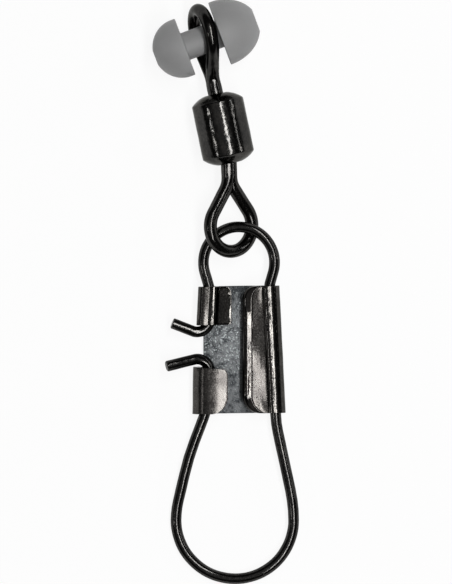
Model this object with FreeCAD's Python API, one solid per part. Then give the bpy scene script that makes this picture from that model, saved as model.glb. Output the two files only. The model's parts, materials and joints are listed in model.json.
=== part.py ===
"""Fishing snap swivel with a line bead, lying on a flat surface.

A moulded bead that slides on the main line carries the upper eye of a rolling swivel.
The swivel's lower eye links to an interlock snap: one bent spring wire held in a folded plate.
Sizes are in millimetres and degrees. X is to the right, Y towards the bead, Z up from the surface.
"""

import FreeCAD, Part
import math
import os
from FreeCAD import Vector

# Line bead, turned about its bore
bead_neck_radius = 0.96
bead_neck_length = 2.50
bead_bore_radius = 0.40
bead_small_rim_radius = 2.03
bead_small_rim_width = 0.30
bead_small_head_length = 2.16
bead_small_dome_reach = 1.92
bead_large_rim_radius = 2.24
bead_large_rim_width = 0.12
bead_large_head_length = 2.63
bead_large_dome_reach = 2.68
bead_rim_round = 0.06
bead_mouth_bevel = 0.06
bead_dome_points = 9

# Swivel barrel, a tube with both ends swaged in
barrel_radius = 1.775
barrel_wall = 0.44
barrel_straight_length = 3.68
barrel_swage_length = 0.56
barrel_swage_shoulder_inset = 0.435
barrel_swage_shoulder_share = 0.60
barrel_swage_wall_share = 0.75
barrel_end_wall_share = 0.60
barrel_mouth_radius = 0.70
barrel_lip_width = 0.10
barrel_corner_round = 0.07

# Swivel eyes, two alike
eye_wire_radius = 0.45
eye_loop_radius = 1.73
eye_loop_distance = 4.77
eye_leg_offset = 0.10
eye_taper = 35.0
eye_fork_bend_radius = 1.60
eye_seat_depth = 0.52
eye_shank_radius = 0.50
eye_shank_stop = 0.15
eye_shank_taper = 0.65
eye_shank_tip_radius = 0.40
eye_seam_width = 0.10
eye_seam_depth = 0.10
eye_head_radius = 1.08
eye_head_rim = 0.30
eye_head_cone = 0.32
eye_head_round = 0.10

# Snap wire
snap_wire_radius = 0.37
upper_loop_radius = 2.42
upper_leg_length = 0.9094
snap_leg_bend_radius = 1.2
hook_line = 2.00
upper_hook_height = 0.915
upper_hook_angle = 21.4
upper_hook_length = 2.74
upper_hook_lift = 0.36
upper_hook_bend_radius = 0.84
lower_hook_height = -0.32
lower_hook_angle = 13.7
lower_hook_length = 3.09
lower_hook_lift = 0.85
lower_hook_bend_radius = 0.85
lower_loop_radius = 4.00
lower_loop_drop = 7.25
lower_loop_shift = -0.28
lower_right_bend_drop = 0.676
lower_right_bend_radius = 7.0
lower_right_shoulder_radius = 9.5
lower_left_bend_rise = 0.80
lower_left_bend_radius = 5.6
lower_left_knee_drop = 3.03
lower_left_knee_reach = 3.44
lower_left_knee_radius = 18.0
lower_left_shoulder_radius = 5.4
wire_end_bevel = 0.06

# Snap plate
sheet = 0.30
wire_play = 0.02
joint_lap = 0.03
edge_allowance = 0.001
plate_top_reach = 4.42
plate_bottom_reach = 4.24
plate_end_slant = 0.9
plate_top_half_width = 2.757
plate_bottom_half_width = 3.184
ridge_fall = 9.7
ridge_reach = 0.25
ridge_crest_radius = 0.20
ridge_flank = 45.0
ridge_depth = 0.25
valley_radius = 0.25
flange_edge = 0.31
flange_lip_width = 0.46
flange_lip_rise = 9.7
flange_lip_radius = 0.34
flange_lip_gap = 0.05
flange_top_round = 0.90
flange_bottom_round = 1.20
upper_tab_bottom = 1.80
upper_tab_edge = -0.52
upper_tab_pocket = 0.20
upper_tab_slope = 65.0
upper_tab_foot_radius = 0.35
upper_tab_foot_gap = 0.05
upper_tab_top_round = 0.50
upper_tab_bottom_round = 0.20
lower_tab_top = -1.22
lower_tab_top_slant = 5.0
lower_tab_edge = -0.73
lower_tab_crown_radius = 0.95
lower_tab_fold_radius = 0.42
lower_tab_fall = 9.0
lower_tab_top_round = 0.36
lower_tab_bottom_round = 1.15
notch_edge = -2.44
notch_round = 0.15

# How the chain of pieces lies; the heights and tilts were found by lowering each piece to rest
rest_gap = 0.02
barrel_lean = 11.8
upper_eye_roll = 73.0
upper_eye_slide = 0.22
bead_turn = 20.5
bead_right = -0.088
bead_down = 0.275
lower_eye_lean = 2.1
lower_eye_roll = -35.5
snap_right = 0.527
snap_slack = 0.062
snap_height = 1.20
snap_pitch = 1.918
snap_roll = -2.695

# Lengths and angles closer than these count as the same
near = 0.01
tiny = 1e-5

# Values that several pieces share
fold_radius = snap_wire_radius + wire_play + sheet / 2
fold_outer = fold_radius + sheet / 2
back_top = -(snap_wire_radius + wire_play)
plate_top = plate_top_reach
plate_bottom = -plate_bottom_reach
plate_height = plate_top - plate_bottom
side_slope = (plate_bottom_half_width - plate_top_half_width) / plate_height
side_angle = math.degrees(math.atan(side_slope))
barrel_half = barrel_straight_length / 2
barrel_end = barrel_half + barrel_swage_length
eye_pivot = barrel_end - eye_seat_depth


def tangent(angle):
    return math.tan(math.radians(angle))


def sine(angle):
    return math.sin(math.radians(angle))


def cosine(angle):
    return math.cos(math.radians(angle))


def bent_edges(corners):
    """Lines and tangent arcs through corners, each a point and its bend radius."""
    points = [Vector(*point) for point, radius in corners]
    edges = []
    start = points[0]
    for before, here, after, radius in zip(
        points, points[1:], points[2:], [radius for point, radius in corners[1:-1]]
    ):
        arriving = (here - before).normalize()
        leaving = (after - here).normalize()
        turn = arriving.getAngle(leaving)
        if turn < tiny:
            continue
        if radius == 0:
            edges.append(Part.LineSegment(start, here).toShape())
            start = here
            continue
        setback = radius * math.tan(turn / 2)
        first = here - arriving * setback
        last = here + leaving * setback
        inward = (leaving - arriving).normalize()
        middle = here + inward * (radius / math.cos(turn / 2) - radius)
        if (first - start).dot(arriving) > tiny:
            edges.append(Part.LineSegment(start, first).toShape())
        else:
            first = start
        edges.append(Part.Arc(first, middle, last).toShape())
        start = last
    if (points[-1] - start).Length > tiny:
        edges.append(Part.LineSegment(start, points[-1]).toShape())
    return edges


def round_bar(corners, radius, end_bevel=0.0):
    """A round wire swept along a bent path, with its cut ends bevelled."""
    edges = bent_edges(corners)
    path = Part.Wire(edges)
    start = Vector(*corners[0][0])
    heading = (Vector(*corners[1][0]) - start).normalize()
    section = Part.Wire([Part.makeCircle(radius, start, heading)])
    bar = path.makePipeShell([section], True, False)
    if end_bevel:
        ends = [e for e in bar.Edges if end_edge(e, corners, radius)]
        bar = bar.makeChamfer(end_bevel, ends)
    return bar


def end_edge(edge, corners, radius):
    """True for the round edge at either cut end of a wire."""
    if abs(edge.Length - 2 * math.pi * radius) > near:
        return False
    middle = edge.CenterOfMass
    return any((middle - Vector(*corners[i][0])).Length < near for i in (0, -1))


def sheet_section(corners, thickness):
    """The closed outline of folded sheet, from the corners of its middle line, in the XZ plane."""
    sides = []
    for side in (1, -1):
        offset = []
        points = [Vector(*point) for point, radius in corners]
        for i, (point, radius) in enumerate(corners):
            here = points[i]
            arriving = (here - points[i - 1]).normalize() if i else None
            leaving = (points[i + 1] - here).normalize() if i + 1 < len(points) else None
            arriving = arriving or leaving
            leaving = leaving or arriving
            out_a = Vector(arriving.z, 0, -arriving.x)
            out_b = Vector(leaving.z, 0, -leaving.x)
            shift = (out_a + out_b) * (side * thickness / 2 / (1 + out_a.dot(out_b)))
            turning = arriving.x * leaving.z - arriving.z * leaving.x
            growth = math.copysign(thickness / 2, turning) * side if abs(turning) > tiny else 0
            offset.append(((here + shift).x, 0, (here + shift).z, radius + growth))
        sides.append([((x, y, z), radius) for x, y, z, radius in offset])
    near, far = sides
    outline = bent_edges(near)
    outline.append(Part.LineSegment(Vector(*near[-1][0]), Vector(*far[-1][0])).toShape())
    outline += bent_edges(far)
    outline.append(Part.LineSegment(Vector(*far[0][0]), Vector(*near[0][0])).toShape())
    return Part.Face(Part.Wire(Part.sortEdges(outline)[0]))


def line_bead():
    """Two domed heads on a neck, with the line bore through all three, along X."""
    neck = bead_neck_length / 2

    def head(side, rim, width, length, reach):
        last = math.asin((length - width) / reach)
        points = []
        for step in range(bead_dome_points):
            angle = last * step / (bead_dome_points - 1)
            along = neck + width + reach * math.sin(angle)
            points.append(Vector(side * along, rim * math.cos(angle), 0))
        dome = Part.BSplineCurve()
        dome.interpolate(
            points,
            InitialTangent=Vector(side, 0, 0),
            FinalTangent=Vector(side * reach * math.cos(last), -rim * math.sin(last), 0),
        )
        corners = [
            points[-1],
            Vector(side * (neck + length), 0, 0),
            Vector(side * neck, 0, 0),
            Vector(side * neck, rim, 0),
            points[0],
        ]
        outline = Part.Wire([dome.toShape()] + Part.makePolygon(corners).Edges)
        solid = Part.Face(outline).revolve(Vector(0, 0, 0), Vector(1, 0, 0), 360)
        rims = [
            e
            for e in solid.Edges
            if abs(e.CenterOfMass.x - side * neck) < near and e.Length > rim
        ]
        return solid.makeFillet(bead_rim_round, rims)

    small = head(
        -1,
        bead_small_rim_radius,
        bead_small_rim_width,
        bead_small_head_length,
        bead_small_dome_reach,
    )
    large = head(
        1,
        bead_large_rim_radius,
        bead_large_rim_width,
        bead_large_head_length,
        bead_large_dome_reach,
    )
    left = -neck - bead_small_head_length
    right = neck + bead_large_head_length
    neck_start = (left - neck) / 2
    neck_end = (right + neck) / 2
    middle = Part.makeCylinder(
        bead_neck_radius, neck_end - neck_start, Vector(neck_start, 0, 0), Vector(1, 0, 0)
    )
    bore = Part.makeCylinder(
        bead_bore_radius, right - left, Vector(left, 0, 0), Vector(1, 0, 0)
    )
    mouth = bead_bore_radius + bead_mouth_bevel
    for face, inward in ((left, 1), (right, -1)):
        bevel = Part.makeCone(
            mouth, bead_bore_radius, bead_mouth_bevel, Vector(face, 0, 0), Vector(inward, 0, 0)
        )
        bore = bore.fuse(bevel)
    return small.fuse([middle, large]).cut(bore).removeSplitter()


def barrel():
    """A tube about Z with both ends swaged in round the eyes' shanks."""
    shoulder = barrel_radius - barrel_swage_shoulder_inset
    inner_half = barrel_half - barrel_wall * barrel_end_wall_share
    shoulder_at = barrel_swage_length * barrel_swage_shoulder_share
    lip = barrel_mouth_radius + barrel_lip_width

    def outline(side):
        def at(radius, height):
            return Vector(radius, 0, side * height)

        outer_start = at(barrel_radius, barrel_half)
        outer_shoulder = at(shoulder, barrel_half + shoulder_at)
        outer_end = at(lip, barrel_end)
        mouth_top = at(barrel_mouth_radius, barrel_end)
        mouth_foot = at(barrel_mouth_radius, inner_half + barrel_swage_length)
        inner_shoulder = at(
            shoulder - barrel_wall * barrel_swage_wall_share, inner_half + shoulder_at
        )
        inner_start = at(barrel_radius - barrel_wall, inner_half)
        return [
            Part.LineSegment(at(barrel_radius, 0), outer_start).toShape(),
            Part.Arc(outer_start, outer_shoulder, outer_end).toShape(),
            Part.LineSegment(outer_end, mouth_top).toShape(),
            Part.LineSegment(mouth_top, mouth_foot).toShape(),
            Part.Arc(mouth_foot, inner_shoulder, inner_start).toShape(),
            Part.LineSegment(inner_start, at(barrel_radius - barrel_wall, 0)).toShape(),
        ]

    wire = Part.Wire(Part.sortEdges(outline(1) + outline(-1))[0])
    tube = Part.Face(wire).revolve(Vector(0, 0, 0), Vector(0, 0, 1), 360)
    corners = [
        e
        for e in tube.Edges
        if abs(e.BoundBox.XLength - 2 * barrel_radius) < near and e.BoundBox.ZLength < near
        and abs(abs(e.CenterOfMass.z) - barrel_half) < near
    ]
    return tube.makeFillet(barrel_corner_round, corners).removeSplitter()


def eye():
    """One swivel eye about Z: a wire loop in the XZ plane, its shank, and the head in the barrel."""
    run = tangent(eye_taper)
    touch_x = eye_loop_radius * cosine(eye_taper)
    touch_z = eye_loop_distance - eye_loop_radius * sine(eye_taper)
    far_z = eye_loop_distance + eye_loop_radius
    fork_z = touch_z - (touch_x - eye_leg_offset) / run
    far_x = touch_x + (far_z - touch_z) * run
    tip_z = fork_z - eye_shank_stop
    halves = []
    for side in (1, -1):
        corners = [
            ((side * eye_leg_offset, 0, 0), 0),
            ((side * eye_leg_offset, 0, fork_z), eye_fork_bend_radius),
            ((side * far_x, 0, far_z), eye_loop_radius),
            ((0, 0, far_z), 0),
        ]
        halves.append(round_bar(corners, eye_wire_radius))
    head_top = -eye_head_cone
    head_foot = head_top - eye_head_rim
    turned = Part.makePolygon(
        [
            Vector(0, 0, head_foot),
            Vector(eye_head_radius, 0, head_foot),
            Vector(eye_head_radius, 0, head_top),
            Vector(eye_shank_radius, 0, 0),
            Vector(eye_shank_radius, 0, tip_z - eye_shank_taper),
            Vector(eye_shank_tip_radius, 0, tip_z),
            Vector(0, 0, tip_z),
            Vector(0, 0, head_foot),
        ]
    )
    shank = Part.Face(turned).revolve(Vector(0, 0, 0), Vector(0, 0, 1), 360)
    rims = [
        e
        for e in shank.Edges
        if abs(e.BoundBox.XLength - 2 * eye_head_radius) < near and e.BoundBox.ZLength < near
    ]
    shank = shank.makeFillet(eye_head_round, rims)
    body = halves[0].fuse([halves[1], shank])
    deep = eye_shank_radius - eye_seam_depth
    clear = eye_shank_radius + eye_seam_depth / 2
    for side in (1, -1):
        groove = Part.makePolygon(
            [
                Vector(0, side * deep, 0),
                Vector(-eye_seam_width / 2, side * clear, 0),
                Vector(eye_seam_width / 2, side * clear, 0),
                Vector(0, side * deep, 0),
            ]
        )
        seam = Part.Face(groove).extrude(Vector(0, 0, fork_z + eye_shank_stop))
        body = body.cut(seam)
    return body.removeSplitter()


def channel_x(y):
    """Distance of the right fold's wire from the snap's middle line at a height y."""
    half_width = plate_top_half_width + (plate_top - y) * side_slope
    return half_width - fold_outer / cosine(side_angle)


def upper_leg_foot():
    """Where the upper loop's right leg bends to enter the plate."""
    height = plate_top + plate_top_half_width * tangent(plate_end_slant)
    return channel_x(height), height


def upper_loop_height():
    """Height of the upper loop's centre, which its straight legs hold above the plate."""
    foot_x, foot_y = upper_leg_foot()
    return foot_y + math.sqrt(upper_loop_radius**2 + upper_leg_length**2 - foot_x**2)


def leg_corner(side_x, centre_y, radius, far_x, far_y):
    """Height at which a loop's side turns into the straight leg to a far point.

    The turn is an arc of the given radius that starts level with the loop's centre.
    """
    across = abs(side_x - far_x) - radius
    away = abs(far_y - centre_y)
    turn = math.atan2(across, away) + math.asin(radius / math.hypot(across, away))
    return centre_y + math.copysign(radius * math.tan(turn / 2), far_y - centre_y)


def snap_wire():
    """One spring wire in the XY plane, from its upper hook round both loops to its lower hook."""
    top_centre = upper_loop_height()
    crown = top_centre + upper_loop_radius
    foot_x, foot_y = upper_leg_foot()
    shoulder_y = leg_corner(upper_loop_radius, top_centre, upper_loop_radius, foot_x, foot_y)
    leg = (upper_loop_radius - foot_x) / (shoulder_y - foot_y)
    hook_leg_y = shoulder_y - (upper_loop_radius - hook_line) / leg

    bottom_centre = plate_bottom - lower_loop_drop
    lower_end = bottom_centre - lower_loop_radius
    right_side = lower_loop_shift + lower_loop_radius
    left_side = lower_loop_shift - lower_loop_radius
    bend_y = plate_bottom - lower_right_bend_drop
    lower_right = (channel_x(bend_y), bend_y)
    knee = (-lower_left_knee_reach, plate_bottom - lower_left_knee_drop)
    right_y = leg_corner(right_side, bottom_centre, lower_right_shoulder_radius, *lower_right)
    left_y = leg_corner(left_side, bottom_centre, lower_left_shoulder_radius, *knee)

    def hook_tip(height, angle, length, lift):
        flat = math.sqrt(length**2 - lift**2)
        return (-hook_line - flat * cosine(angle), height + flat * sine(angle), lift)

    corners = [
        (hook_tip(upper_hook_height, upper_hook_angle, upper_hook_length, upper_hook_lift), 0),
        ((-hook_line, upper_hook_height, 0), upper_hook_bend_radius),
        ((-hook_line, hook_leg_y, 0), snap_leg_bend_radius),
        ((-upper_loop_radius, shoulder_y, 0), upper_loop_radius),
        ((-upper_loop_radius, crown, 0), upper_loop_radius),
        ((upper_loop_radius, crown, 0), upper_loop_radius),
        ((upper_loop_radius, shoulder_y, 0), upper_loop_radius),
        ((foot_x, foot_y, 0), snap_leg_bend_radius),
        ((*lower_right, 0), lower_right_bend_radius),
        ((right_side, right_y, 0), lower_right_shoulder_radius),
        ((right_side, lower_end, 0), lower_loop_radius),
        ((left_side, lower_end, 0), lower_loop_radius),
        ((left_side, left_y, 0), lower_left_shoulder_radius),
        ((*knee, 0), lower_left_knee_radius),
        ((-hook_line, plate_bottom + lower_left_bend_rise, 0), lower_left_bend_radius),
        ((-hook_line, lower_hook_height, 0), lower_hook_bend_radius),
        (hook_tip(lower_hook_height, -lower_hook_angle, lower_hook_length, lower_hook_lift), 0),
    ]
    return round_bar(corners, snap_wire_radius, wire_end_bevel)


def extrude_fold(corners, side):
    """Folded sheet run along one slanted side of the plate; its section is drawn at mid height."""
    strip = sheet_section(corners, sheet).extrude(Vector(0, 2 * plate_height, 0))
    strip.translate(Vector(0, -plate_height, 0))
    if side < 0:
        strip = strip.mirror(Vector(0, 0, 0), Vector(1, 0, 0))
    strip.rotate(Vector(0, 0, 0), Vector(0, 0, 1), side * side_angle)
    strip.translate(Vector(side * channel_x(0), 0, 0))
    return strip


def outline_block(points, low, high):
    """A block over a plan outline with rounded corners, sheared as the plate's ends are."""
    slope = tangent(plate_end_slant)
    corners = [((x, y + x * slope, low), radius) for x, y, radius in points]
    start = (Vector(*corners[0][0]) + Vector(*corners[-1][0])) / 2
    edges = bent_edges([(start, 0)] + corners + [(start, 0)])
    return Part.Face(Part.Wire(edges)).extrude(Vector(0, 0, high - low))


def cut_to_outline(strip, points):
    return strip.common(outline_block(points, -plate_height, plate_height))


def right_flange(middle, far):
    """The long flange: a fold, a pressed ridge over the wire, a valley and a lip turned down."""
    crest_z = (fold_radius + ridge_reach * sine(ridge_fall)) / cosine(ridge_fall)
    corner_z = (fold_radius - fold_radius * sine(ridge_fall)) / cosine(ridge_fall)
    valley_z = crest_z - ridge_depth
    valley_at = ridge_reach + ridge_depth / tangent(ridge_flank)
    level_at = valley_at + valley_radius * tangent(ridge_flank / 2)
    join_x = channel_x(plate_top) - level_at - joint_lap
    fold_end = channel_x(plate_bottom) - join_x + joint_lap
    fold = extrude_fold(
        [
            ((-sheet, 0, middle), 0),
            ((fold_radius, 0, middle), fold_radius),
            ((fold_radius, 0, corner_z), fold_radius * cosine(ridge_fall)),
            ((-ridge_reach, 0, crest_z), ridge_crest_radius),
            ((-valley_at, 0, valley_z), valley_radius),
            ((-fold_end, 0, valley_z), 0),
        ],
        1,
    )
    lip_x = flange_edge + sheet / 2
    lip_top = valley_z + flange_lip_width * tangent(flange_lip_rise)
    lip = sheet_section(
        [
            ((join_x, 0, valley_z), 0),
            ((lip_x + flange_lip_width, 0, valley_z), valley_radius),
            ((lip_x, 0, lip_top), flange_lip_radius),
            ((lip_x, 0, back_top + flange_lip_gap), 0),
        ],
        sheet,
    ).extrude(Vector(0, 2 * plate_height, 0))
    lip.translate(Vector(0, -plate_height, 0))
    edge = flange_edge - edge_allowance
    return cut_to_outline(
        fold.fuse(lip),
        [
            (far, plate_top, 0),
            (edge, plate_top, flange_top_round),
            (edge, plate_bottom, flange_bottom_round),
            (far, plate_bottom, 0),
        ],
    )


def upper_left_tab(middle, far):
    """The upper tab: crimped down beside the wire, its foot close to the back."""
    crimp_at = upper_tab_pocket + fold_radius * tangent(upper_tab_slope / 2)
    foot_level = back_top + sheet / 2 + upper_tab_foot_gap
    foot_at = crimp_at + (fold_radius - foot_level) / tangent(upper_tab_slope)
    fold = extrude_fold(
        [
            ((-sheet, 0, middle), 0),
            ((fold_radius, 0, middle), fold_radius),
            ((fold_radius, 0, fold_radius), fold_radius),
            ((-crimp_at, 0, fold_radius), fold_radius),
            ((-foot_at, 0, foot_level), upper_tab_foot_radius),
            ((-far, 0, foot_level), 0),
        ],
        -1,
    )
    return cut_to_outline(
        fold,
        [
            (-far, plate_top, 0),
            (-far, upper_tab_bottom, 0),
            (upper_tab_edge, upper_tab_bottom, upper_tab_bottom_round),
            (upper_tab_edge, plate_top, upper_tab_top_round),
        ],
    )


def lower_tab_top_at(x):
    """The slanted top edge of the lower tab."""
    return lower_tab_top + (lower_tab_edge - x) * tangent(lower_tab_top_slant)


def lower_left_tab(middle, far):
    """The lower tab: an open pocket that the wire can be sprung out of."""
    crown_turn = lower_tab_crown_radius * tangent((90 + lower_tab_fall) / 2)
    crown_at = middle + lower_tab_fold_radius + crown_turn + joint_lap
    fold = extrude_fold(
        [
            ((-sheet, 0, middle), 0),
            ((fold_radius, 0, middle), lower_tab_fold_radius),
            ((fold_radius, 0, crown_at), lower_tab_crown_radius),
            ((fold_radius - far, 0, crown_at - far * tangent(lower_tab_fall)), 0),
        ],
        -1,
    )
    return cut_to_outline(
        fold,
        [
            (-far, lower_tab_top_at(-far), 0),
            (-far, plate_bottom, 0),
            (lower_tab_edge, plate_bottom, lower_tab_bottom_round),
            (lower_tab_edge, lower_tab_top, lower_tab_top_round),
        ],
    )


def snap_plate():
    """The folded plate: a flat back, a full right flange and two tabs on the left."""
    middle = -fold_radius
    far = plate_bottom_half_width + 1
    top_x = channel_x(plate_top) - sheet / 2
    bottom_x = channel_x(plate_bottom) - sheet / 2
    back = outline_block(
        [
            (-top_x, plate_top, 0),
            (top_x, plate_top, 0),
            (bottom_x, plate_bottom, 0),
            (-bottom_x, plate_bottom, 0),
        ],
        back_top - sheet,
        back_top,
    )
    tongue = outline_block(
        [
            (0, lower_tab_top, 0),
            (0, upper_tab_bottom, 0),
            (notch_edge, upper_tab_bottom, notch_round),
            (notch_edge, lower_tab_top_at(notch_edge), notch_round),
        ],
        back_top - sheet,
        back_top,
    )
    folds = [right_flange(middle, far), upper_left_tab(middle, far), lower_left_tab(middle, far)]
    return back.fuse([tongue] + folds).removeSplitter()


def frame_at(place, along, across):
    """A placement whose Z runs along one direction and whose X leans towards another."""
    z_axis = Vector(along).normalize()
    y_axis = z_axis.cross(Vector(across)).normalize()
    x_axis = y_axis.cross(z_axis)
    return FreeCAD.Placement(Vector(place), FreeCAD.Rotation(x_axis, y_axis, z_axis, "ZXY"))


def rolled(along, roll):
    """The width direction of an eye rolled about its own length, from lying flat."""
    right = Vector(0, 0, 1).cross(along).normalize()
    if right.x < 0:
        right = right * -1
    up = right.cross(along).normalize()
    if up.z < 0:
        up = up * -1
    return right * cosine(roll) + up * sine(roll)


def heading(lean, climb):
    """A direction in the picture plane, turned from +Y towards -X, and climbing from it."""
    return Vector(-sine(lean) * cosine(climb), cosine(lean) * cosine(climb), sine(climb))


def climb_to(height, reach):
    return math.degrees(math.asin(height / reach))


# The barrel lies on its side.
barrel_axis = heading(barrel_lean, 0)
barrel_centre = Vector(0, 0, barrel_radius)
barrel_place = frame_at(barrel_centre, barrel_axis, Vector(1, 0, 0))

# Each eye leans in the barrel's mouth until its loop is down on the surface.
upper_reach = eye_loop_distance - upper_eye_slide
upper_eye_height = eye_loop_radius * sine(upper_eye_roll) + eye_wire_radius + rest_gap
upper_axis = heading(barrel_lean, climb_to(upper_eye_height - barrel_radius, upper_reach))
upper_pivot = barrel_centre + barrel_axis * eye_pivot
upper_eye_place = frame_at(
    upper_pivot - upper_axis * upper_eye_slide, upper_axis, rolled(upper_axis, upper_eye_roll)
)
upper_loop_centre = upper_pivot + upper_axis * upper_reach

lower_eye_height = eye_loop_radius * sine(-lower_eye_roll) + eye_wire_radius + rest_gap
lower_climb = climb_to(lower_eye_height - barrel_radius, eye_loop_distance)
lower_axis = heading(lower_eye_lean, -lower_climb) * -1
lower_pivot = barrel_centre - barrel_axis * eye_pivot
lower_eye_place = frame_at(lower_pivot, lower_axis, rolled(lower_axis, lower_eye_roll))
lower_loop_centre = lower_pivot + lower_axis * eye_loop_distance

# The bead stands on the rim of its larger head, kept level by the eye that leans on it.
bead_centre = Vector(
    upper_loop_centre.x + bead_right,
    upper_loop_centre.y - bead_down,
    bead_large_rim_radius + rest_gap,
)
bead_place = FreeCAD.Placement(bead_centre, FreeCAD.Rotation(Vector(0, 0, 1), bead_turn))

# The snap rests on its lower loop, on the left corner of its plate and on the lower eye.
snap_loop_centre = Vector(
    lower_loop_centre.x + snap_right,
    lower_loop_centre.y - upper_loop_radius - snap_slack,
    snap_height,
)
snap_tilt = FreeCAD.Rotation(Vector(1, 0, 0), snap_pitch).multiply(
    FreeCAD.Rotation(Vector(0, 1, 0), snap_roll)
)
snap_place = FreeCAD.Placement(snap_loop_centre, snap_tilt).multiply(
    FreeCAD.Placement(Vector(0, -upper_loop_height(), 0), FreeCAD.Rotation())
)


def placed(shape, place):
    moved = shape.copy()
    moved.transformShape(place.toMatrix())
    return moved


eye_shape = eye()
nodes = {
    "line_bead": placed(line_bead(), bead_place),
    "upper_eye": placed(eye_shape, upper_eye_place),
    "barrel": placed(barrel(), barrel_place),
    "lower_eye": placed(eye_shape, lower_eye_place),
    "snap_wire": placed(snap_wire(), snap_place),
    "snap_plate": placed(snap_plate(), snap_place),
}

# The frame's origin is on the surface, under the middle of the whole part.
whole = Part.makeCompound(list(nodes.values())).optimalBoundingBox(False, False)
origin = Vector(whole.Center.x, whole.Center.y, whole.ZMin)
for shape in nodes.values():
    shape.translate(origin * -1)

os.makedirs("parts", exist_ok=True)
for name, shape in nodes.items():
    shape.exportStep("parts/" + name + ".step")
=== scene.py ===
# Fishing snap swivel with a line bead: its looks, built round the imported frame
import json
import math

import bmesh
import bpy
from mathutils import Matrix, Vector, noise


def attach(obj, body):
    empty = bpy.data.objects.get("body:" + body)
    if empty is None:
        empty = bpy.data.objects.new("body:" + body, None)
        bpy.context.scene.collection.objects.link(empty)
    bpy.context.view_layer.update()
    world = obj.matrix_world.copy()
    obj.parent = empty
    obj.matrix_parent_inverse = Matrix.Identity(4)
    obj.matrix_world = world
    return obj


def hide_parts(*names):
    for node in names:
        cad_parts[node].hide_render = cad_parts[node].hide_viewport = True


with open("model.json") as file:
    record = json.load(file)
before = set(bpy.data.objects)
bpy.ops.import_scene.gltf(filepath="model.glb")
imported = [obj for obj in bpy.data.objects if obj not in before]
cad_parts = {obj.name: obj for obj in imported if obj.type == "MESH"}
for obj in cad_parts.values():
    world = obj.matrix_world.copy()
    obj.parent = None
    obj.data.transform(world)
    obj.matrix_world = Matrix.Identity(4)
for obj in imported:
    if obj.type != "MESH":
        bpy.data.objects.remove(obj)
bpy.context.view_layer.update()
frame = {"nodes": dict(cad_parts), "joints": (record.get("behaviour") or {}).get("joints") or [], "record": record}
joints = {joint["name"]: joint for joint in frame["joints"]}
mounts = {mount["name"]: mount for mount in frame["record"]["mounts"]}
toMetres = Matrix.Scale(0.001, 4)  # every piece below is modelled in millimetres
print("frame loaded:", ", ".join(sorted(frame["nodes"])))


# Shared shape tools
def tangentOf(angle):
    return math.tan(math.radians(angle))


def smooth(value, start, end):
    # 0 before the start and 1 past the end, which may lie below it, and eased between
    share = min(max((value - start) / (end - start), 0), 1)
    return share * share * (3 - 2 * share)


def within(value, spans):
    # 1 where every span is past, 0 where one hasn't begun
    return math.prod(smooth(value, *span) for span in spans)


def arcThrough(first, second, third, steps):
    # points of the arc through three points in a plane, the first left out
    (ax, ay), (bx, by), (cx, cy) = first, second, third
    twice = 2 * (ax * (by - cy) + bx * (cy - ay) + cx * (ay - by))
    aa, bb, cc = ax * ax + ay * ay, bx * bx + by * by, cx * cx + cy * cy
    ux = (aa * (by - cy) + bb * (cy - ay) + cc * (ay - by)) / twice
    uy = (aa * (cx - bx) + bb * (ax - cx) + cc * (bx - ax)) / twice
    start = math.atan2(ay - uy, ax - ux)
    sweep = math.atan2(cy - uy, cx - ux) - start
    sweep -= 2 * math.pi * round(sweep / (2 * math.pi))
    radius = math.hypot(ax - ux, ay - uy)
    angles = [start + sweep * i / steps for i in range(1, steps + 1)]
    return [(ux + radius * math.cos(a), uy + radius * math.sin(a)) for a in angles]


def bentRoute(corners, gap, turnStep, fixedParts=None):
    # points along straight runs joined by tangent arcs; each corner is a point and its radius
    # the fixed parts, where given, are those of each run and those of each arc
    points = [Vector(point) for point, radius in corners]
    route = [points[0]]

    def runTo(end):
        start = route[-1].copy()
        parts = fixedParts[0] if fixedParts else max(1, round((end - start).length / gap))
        if fixedParts or (end - start).length > 1e-6:
            route.extend(start.lerp(end, i / parts) for i in range(1, parts + 1))

    for before, here, after, (point, radius) in zip(points, points[1:], points[2:], corners[1:]):
        arriving = (here - before).normalized()
        leaving = (after - here).normalized()
        turn = arriving.angle(leaving)
        setback = radius * math.tan(turn / 2)
        runTo(here - arriving * setback)
        inward = (leaving - arriving).normalized()
        centre = here + inward * (radius / math.cos(turn / 2))
        spoke = here - arriving * setback - centre
        axis = arriving.cross(leaving).normalized()
        steps = fixedParts[1] if fixedParts else max(2, round(math.degrees(turn) / turnStep))
        route.extend(
            centre + Matrix.Rotation(turn * i / steps, 3, axis) @ spoke for i in range(1, steps + 1)
        )
    runTo(points[-1])
    return route


def sweepTube(route, radius, sides, bevel):
    # a closed round wire along a route, with bevelled ends
    shape = bmesh.new()
    ahead = (route[1] - route[0]).normalized()
    side = ahead.orthogonal().normalized()
    rings = []
    end = len(route) - 1
    stations = [(0, radius - bevel)] if bevel else []
    stations += [(i, radius) for i in range(len(route))]
    stations += [(end, radius - bevel)] if bevel else []
    for number, (i, width) in enumerate(stations):
        before, after = route[max(i - 1, 0)], route[min(i + 1, end)]
        turned = (after - before).normalized()
        side = (side - turned * side.dot(turned)).normalized()
        up = turned.cross(side)
        centre = route[i]
        if bevel and number == 1:
            centre = route[0] + turned * bevel
        if bevel and number == len(route):
            centre = route[-1] - turned * bevel
        rings.append([
            shape.verts.new(centre + (side * math.cos(a) + up * math.sin(a)) * width)
            for a in (2 * math.pi * k / sides for k in range(sides))
        ])
    for here, there in zip(rings, rings[1:]):
        for k in range(sides):
            n = (k + 1) % sides
            shape.faces.new((here[k], here[n], there[n], there[k]))
    shape.faces.new(reversed(rings[0]))
    shape.faces.new(rings[-1])
    return shape


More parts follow.
